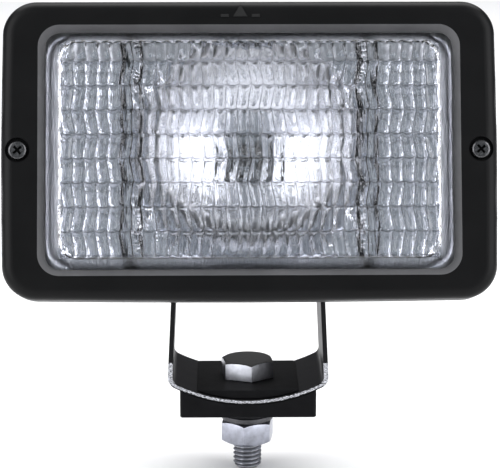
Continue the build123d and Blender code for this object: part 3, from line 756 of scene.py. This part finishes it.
# Painted light and shade in the border: the glass outside the field is tinted grey in rib stripes, standing
# in for light bent by the moulded ribs.
ribs = grain(melt, 260, 2, (3, 1, 1))
border = ribs.mix((0.66, 0.66, 0.67, 1), (0.95, 0.95, 0.97, 1))
colour = in_field.mix(border, joint.mix((0.95, 0.96, 0.985, 1), (0.10, 0.10, 0.12, 1)))
wave = grain(melt, 120, 2)
slant = {"Vector": place, "Rotation": (0, radians(14), 0), "Scale": (1, 0.22, 0.22)}
draw = melt.node("ShaderNodeMapping", {}, slant)
draw = melt.node("ShaderNodeTexNoise", {}, {"Vector": draw, "Scale": 1050, "Detail": 1.0}, out="Fac")
relief = bump(melt, draw * inner_face, 0.8, 0.00028)
surface(melt, {
    "Base Color": colour, "Roughness": 0.01 + 0.02 * wave + 0.3 * (1 - in_field), "IOR": 1.5,
    "Transmission Weight": 1.0, "Normal": relief,
})


def spread(low, high, steps):
    return [low + (high - low) * k / steps for k in range(steps)]


def ease(t):
    return t * t * (3 - 2 * t)


def corner_wrap(x, u):
    """Bends the squared rings of the grid round the lens corners."""
    start_x, start_u = FIELD_X - CORNER, FIELD_U - CORNER
    a, b = (abs(x) - start_x) / CORNER, (abs(u) - start_u) / CORNER
    if a <= 0 or b <= 0:
        return x, u
    m = max(a, b)
    phi = pi / 4 * (b / a) if a >= b else pi / 2 - pi / 4 * (a / b)
    wrapped_x, wrapped_u = start_x + CORNER * m * cos(phi), start_u + CORNER * m * sin(phi)
    return (wrapped_x if x > 0 else -wrapped_x), (wrapped_u if u > 0 else -wrapped_u)


def lens_mesh(mesh):
    border_x = [FIELD_X + (EDGE_X - FIELD_X) * e for e in BORDER_STEPS]
    border_u = [FIELD_U + (EDGE_U - FIELD_U) * e for e in BORDER_STEPS]
    xs = [-x for x in reversed(border_x)] + spread(-FIELD_X, FIELD_X, COLUMNS * 12) + [FIELD_X] + border_x
    rows = 2 * FIELD_U / ROW_PITCH
    us = [-u for u in reversed(border_u)] + spread(-FIELD_U, FIELD_U, int(rows * 16)) + [FIELD_U] + border_u

    def ring_at(x, u):
        ex = max(0.0, (abs(x) - FIELD_X) / (EDGE_X - FIELD_X))
        eu = max(0.0, (abs(u) - FIELD_U) / (EDGE_U - FIELD_U))
        return max(ex, eu)

    def crown(x, u):
        fx, fu = min(1.0, abs(x) / FIELD_X), min(1.0, abs(u) / FIELD_U)
        return CROWN * (1 - fx * fx) * (1 - fu * fu)

    def flutes(x, u):
        row = (FIELD_U - FIRST_ROW - u) / ROW_PITCH + 2
        lean = FLUTE_LEAN * sin(90 * x + 2.4 * floor(row))
        fx = ((x + FIELD_X) / FLUTE + lean * (row % 1.0 - 0.5)) % 1.0
        across = 1 - (2 * fx - 1) ** 2
        fu = (row - SCALLOP * across) % 1.0
        down = 1 - (2 * fu - 1) ** 6
        return FLUTE_RISE * across * (0.6 + 0.4 * down) + ROW_RISE * down

    sheets = []
    for inner in (False, True):
        sheet = []
        for u in us:
            line = []
            for x in xs:
                e = ring_at(x, u)
                slope = ease(min(1.0, e / SLOPE_END))
                top = LENS_FRONT - crown(x, u) + (GLASS_T if inner else 0.0)
                foot = LENS_BACK if inner else LENS_SEAT
                depth = top + (foot - top) * slope
                if inner and e == 0:
                    depth += flutes(x, u)
                px, pu = corner_wrap(x, u)
                pu = max(-EDGE_U, min(EDGE_U, pu))
                line.append(mesh.verts.new(lamp_point(px, pu, depth)))
            sheet.append(line)
        sheets.append(sheet)
        for j in range(len(us) - 1):
            for k in range(len(xs) - 1):
                mesh.faces.new((sheet[j][k], sheet[j][k + 1], sheet[j + 1][k + 1], sheet[j + 1][k]))
    outer, inner = sheets

    def rim(sheet):
        last = len(xs) - 1
        return (
            sheet[0][:-1] + [line[last] for line in sheet[:-1]]
            + sheet[-1][:0:-1] + [line[0] for line in sheet[:0:-1]]
        )

    front_rim, back_rim = rim(outer), rim(inner)
    for k in range(len(front_rim)):
        n = (k + 1) % len(front_rim)
        mesh.faces.new((front_rim[k], back_rim[k], back_rim[n], front_rim[n]))


mesh_object("fluted_lens", lens_mesh, glass, "lamp", "lens", smooth=60)

# ---------------------------------------------------------------- front bezel
# Thick black frame with rounded outer edges. Two recessed cross-head screws
# pull it down over the lens, gasket and reflector flange.

LIP_HALF_W, LIP_HALF_H, LIP_FLATNESS = 68.1 * MM, 40.6 * MM, 0.97
MARK_RISE, RECESS_DEPTH = 0.12 * MM, 0.7 * MM
front_level = front_centre.dot(forward)

frame_black, moulding = new_finish("bezel_plastic")
haze = grain(moulding, 70, 3)
pits = grain(moulding, 3000, 3, rough=0.7)
colour = haze.mix((0.003, 0.003, 0.0032, 1), (0.006, 0.006, 0.0062, 1))
place = object_point(moulding)


def reach_along(wire, point, direction):
    """How far a point or a normal reaches along a fixed direction."""
    pair = {0: point, 1: direction}
    return wire.node("ShaderNodeVectorMath", {"operation": "DOT_PRODUCT"}, pair, out="Value")


proud = reach_along(moulding, place, forward)
raised = moulding.maths("GREATER_THAN", proud, front_level + MARK_RISE)
along_x = moulding.maths("ABSOLUTE", moulding.node("ShaderNodeSeparateXYZ", {}, {"Vector": place}, out="X"))
along_u = reach_along(moulding, place, upward)
along_u = moulding.maths("ABSOLUTE", along_u - front_centre.dot(upward))
# Painted highlight: the bevel round the aperture is painted light grey.
lip_highlight = moulding.maths("LESS_THAN", along_x, LIP_HALF_W) * moulding.maths("LESS_THAN", along_u, LIP_HALF_H)
squareness = reach_along(moulding, moulding.node("ShaderNodeTexCoord", out="Normal"), forward)
lip_highlight = lip_highlight * moulding.maths("LESS_THAN", squareness, LIP_FLATNESS)
colour = lip_highlight.mix(colour, haze.mix((0.11, 0.11, 0.113, 1), (0.19, 0.19, 0.194, 1)))
# Painted highlight: the raised mark is painted lighter than the face round it.
colour = raised.mix(colour, (0.022, 0.022, 0.022, 1))
relief = bump(moulding, pits, 0.3, 0.00006)
surface(moulding, {
    "Base Color": colour, "Roughness": 0.36 + 0.10 * haze,
    "Specular IOR Level": 0.14, "Normal": relief,
})
dress("front_bezel", frame_black)

dark_steel, blacked = new_finish("blacked_steel")
speckle = grain(blacked, 1400, 3)
# Painted glints and painted shade: the screw is painted lighter in patches where it stands proud, and near
# black deeper in its recess.
proud = reach_along(blacked, object_point(blacked), forward)
above_recess = blacked.maths("GREATER_THAN", proud, front_level - RECESS_DEPTH)
glint_colour = speckle.mix((0.02, 0.02, 0.021, 1), (0.20, 0.20, 0.206, 1))
colour = above_recess.mix((0.005, 0.005, 0.005, 1), glint_colour)
surface(blacked, {"Base Color": colour, "Metallic": 0.9, "Roughness": 0.18 + 0.2 * speckle})
dress("bezel_screws", dark_steel)

# ---------------------------------------------------------------- pivot hardware
# Zinc-plated hexagon screws with spring washers. They clamp the bracket's arms
# to the tower and are the axle that the lamp tilts on.

dress("pivot_screws", zinc)
dress("pivot_washers", zinc)
